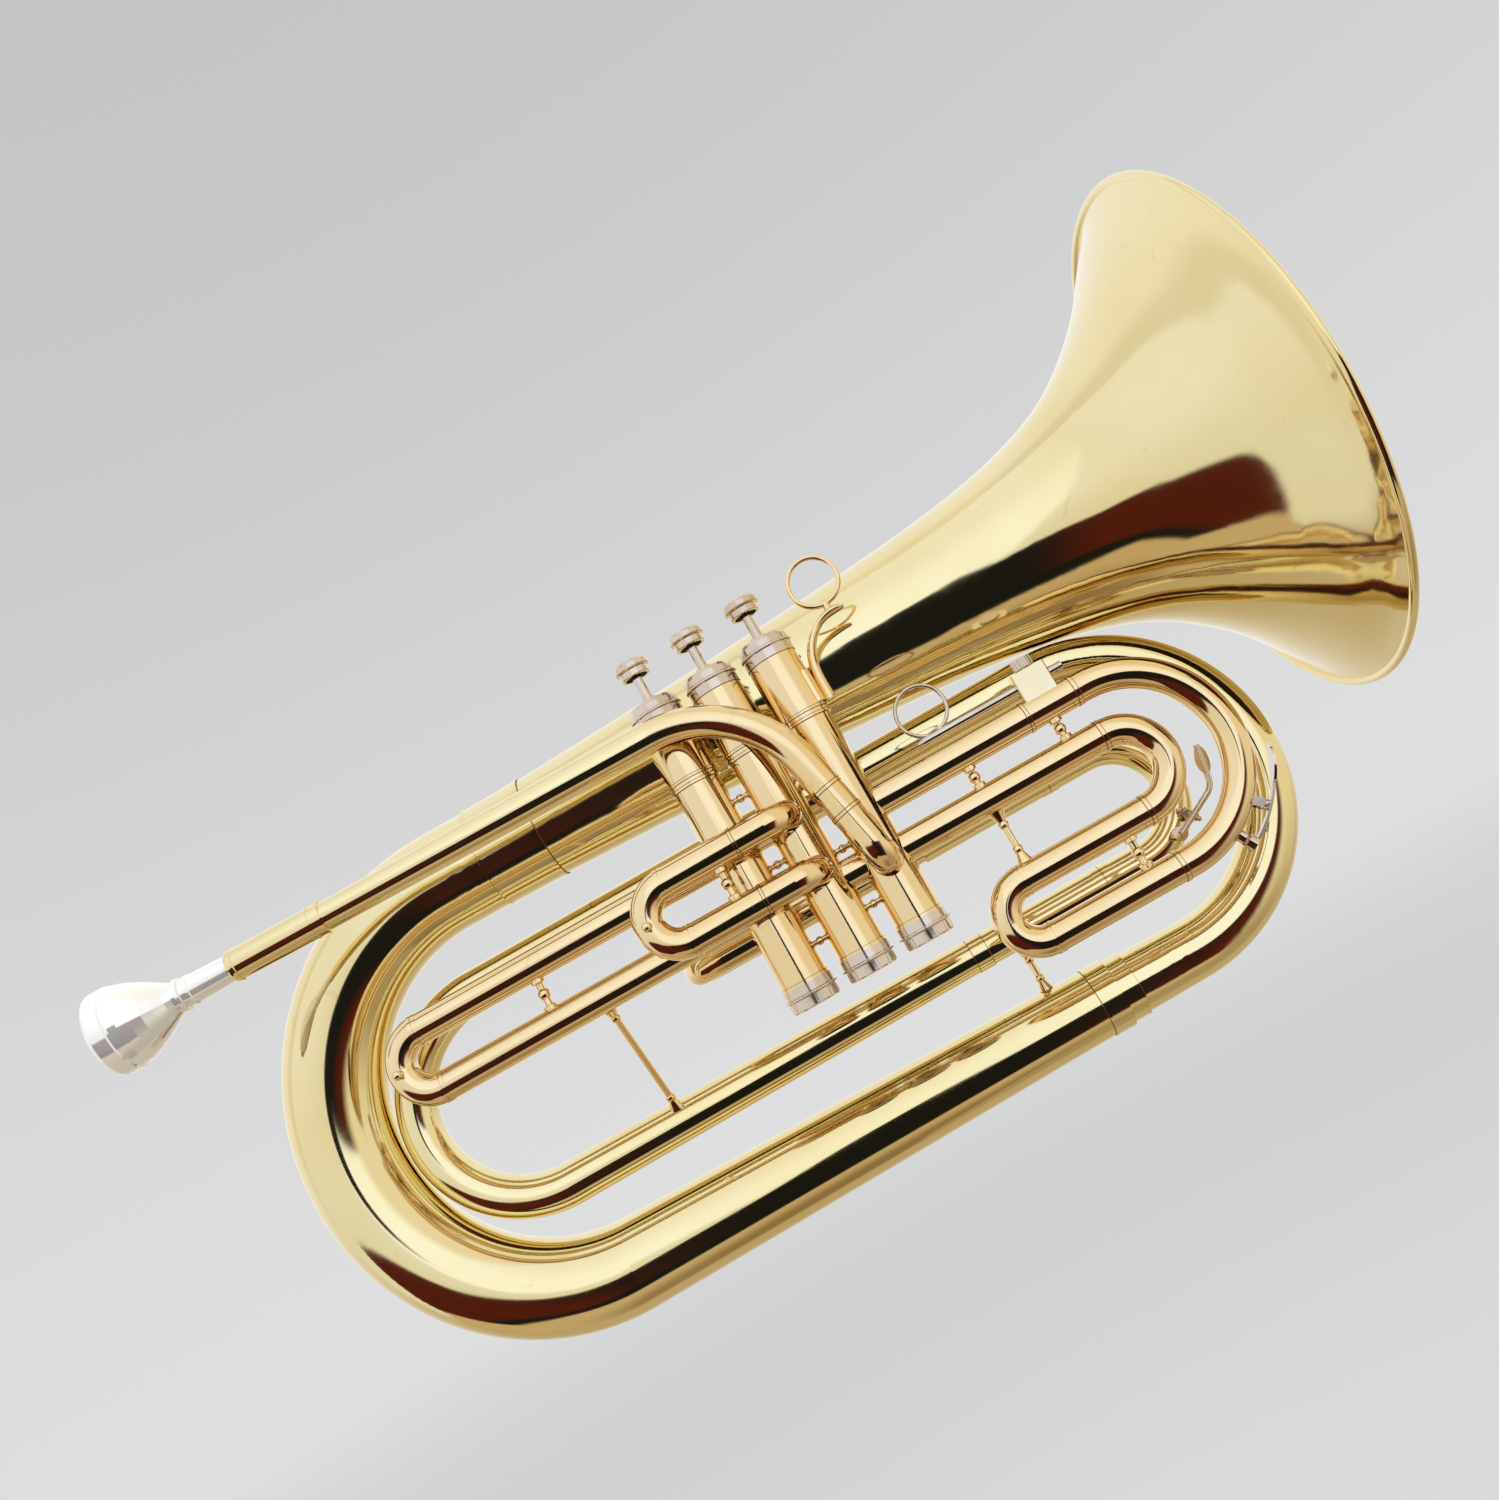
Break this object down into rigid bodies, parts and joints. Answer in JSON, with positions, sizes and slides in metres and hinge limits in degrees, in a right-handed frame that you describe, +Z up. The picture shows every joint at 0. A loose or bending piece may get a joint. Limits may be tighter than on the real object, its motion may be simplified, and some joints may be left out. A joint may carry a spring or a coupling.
{
  "type": "marching euphonium",
  "caption": "Bell-front marching euphonium in lacquered brass: conical loops, piston valves with sprung buttons, pull-out slides, water keys and a removable mouthpiece.",
  "frame": {"origin": "on the middle valve casing's axis, at the height where the hand holds the casings", "axes": "+X towards the bell mouth along the bell axis, +Z up along the valve stems towards the finger buttons, +Y away from the mouthpiece side towards the bell and large tubes"},
  "size_m": [0.5547, 0.258, 0.3394],
  "materials": {
    "lacquered_brass": "clear-lacquered yellow brass, polished",
    "slide_brass": "clear-lacquered brass, slightly warmer",
    "nickel_silver": "polished nickel silver",
    "silver_plate": "polished silver plate",
    "monel": "honed nickel-copper alloy",
    "spring_steel": "drawn spring wire",
    "felt": "pressed wool felt",
    "cork": "natural cork",
    "nylon": "moulded nylon"
  },
  "bodies": {
    "horn": {"bell": "lacquered_brass", "big_bow": "lacquered_brass", "bottom_branch": "lacquered_brass", "right_bow": "lacquered_brass", "upper_back_tube": "lacquered_brass", "inner_bow": "lacquered_brass", "lower_back_tube": "lacquered_brass", "ferrules": "lacquered_brass", "tuning_sleeves": "slide_brass", "mouthpiece_receiver": "slide_brass", "leadpipe": "slide_brass", "leadpipe_bend": "slide_brass", "leadpipe_elbow": "slide_brass", "valve_casing_1": "slide_brass", "valve_casing_2": "slide_brass", "valve_casing_3": "slide_brass", "valve_guides": "nylon", "top_caps": "nickel_silver", "bottom_caps": "nickel_silver", "casing_links": "slide_brass", "valve_exit_tube": "slide_brass", "first_slide_sleeves": "slide_brass", "second_slide_sleeves": "slide_brass", "third_slide_sleeves": "slide_brass", "third_top_tube": "slide_brass", "third_return_tube": "slide_brass", "third_outer_bow": "slide_brass", "third_inner_bow": "slide_brass", "ball_braces": "slide_brass", "rod_braces": "slide_brass", "finger_hook": "lacquered_brass", "finger_ring": "lacquered_brass", "rod_block": "nickel_silver", "third_key_saddle": "nickel_silver"},
    "valve_1": {"piston_1": "monel", "stem_button_1": "nickel_silver", "valve_felts_1": "felt", "valve_spring_1": "spring_steel"},
    "valve_2": {"piston_2": "monel", "stem_button_2": "nickel_silver", "valve_felts_2": "felt", "valve_spring_2": "spring_steel"},
    "valve_3": {"piston_3": "monel", "stem_button_3": "nickel_silver", "valve_felts_3": "felt", "valve_spring_3": "spring_steel"},
    "first_slide": {"first_slide": "slide_brass"},
    "second_slide": {"second_slide": "slide_brass"},
    "third_slide": {"third_slide": "slide_brass"},
    "tuning_slide": {"tuning_slide": "slide_brass", "tuning_key_saddle": "nickel_silver"},
    "tuning_key": {"tuning_key_lever": "nickel_silver", "tuning_key_cork": "cork", "tuning_key_spring": "spring_steel"},
    "third_key": {"third_key_lever": "nickel_silver", "third_key_cork": "cork", "third_key_spring": "spring_steel"},
    "ring_rod": {"ring_rod": "nickel_silver"},
    "thumb_screw": {"thumb_screw": "nickel_silver"},
    "mouthpiece": {"mouthpiece": "silver_plate"}
  },
  "joints": [
    {"name": "valve_1_press", "type": "slide", "parent": "horn", "child": "valve_1", "axis": [0, 0, -1], "range_m": [0, 0.0122], "stiffness_N_per_m": 120, "springref_m": -0.012, "deforming": ["valve_spring_1"]},
    {"name": "valve_2_press", "type": "slide", "parent": "horn", "child": "valve_2", "axis": [0, 0, -1], "range_m": [0, 0.0122], "stiffness_N_per_m": 120, "springref_m": -0.012, "deforming": ["valve_spring_2"]},
    {"name": "valve_3_press", "type": "slide", "parent": "horn", "child": "valve_3", "axis": [0, 0, -1], "range_m": [0, 0.0122], "stiffness_N_per_m": 120, "springref_m": -0.012, "deforming": ["valve_spring_3"]},
    {"name": "first_slide_pull", "type": "slide", "parent": "horn", "child": "first_slide", "axis": [-1, 0, 0], "range_m": [0, 0.05]},
    {"name": "second_slide_pull", "type": "slide", "parent": "horn", "child": "second_slide", "axis": [-1, 0, 0], "range_m": [0, 0.025]},
    {"name": "third_slide_pull", "type": "slide", "parent": "horn", "child": "third_slide", "axis": [-1, 0, 0], "range_m": [0, 0.012]},
    {"name": "tuning_slide_pull", "type": "slide", "parent": "horn", "child": "tuning_slide", "axis": [1, 0, 0], "range_m": [0, 0.018]},
    {"name": "ring_rod_adjust", "type": "slide", "parent": "horn", "child": "ring_rod", "axis": [1, 0, 0], "range_m": [-0.004, 0.022]},
    {"name": "mouthpiece_pull", "type": "slide", "parent": "horn", "child": "mouthpiece", "axis": [-0.9999, 0, 0.0113], "range_m": [0, 0.04]},
    {"name": "tuning_key_press", "type": "hinge", "parent": "tuning_slide", "child": "tuning_key", "pos_m": [0.15339, 0.0317, -0.08355], "axis": [-0.5446, 0, 0.8387], "range_deg": [0, 8], "stiffness_Nm_per_rad": 0.02, "springref_deg": -28.65},
    {"name": "third_key_press", "type": "hinge", "parent": "horn", "child": "third_key", "pos_m": [0.17409, 0, -0.09407], "axis": [0, -1, 0], "range_deg": [0, 10], "stiffness_Nm_per_rad": 0.02, "springref_deg": -28.65},
    {"name": "thumb_screw_turn", "type": "hinge", "parent": "horn", "child": "thumb_screw", "pos_m": [0.1183, 0, 0.005], "axis": [0, 0, 1], "continuous": true}
  ]
}
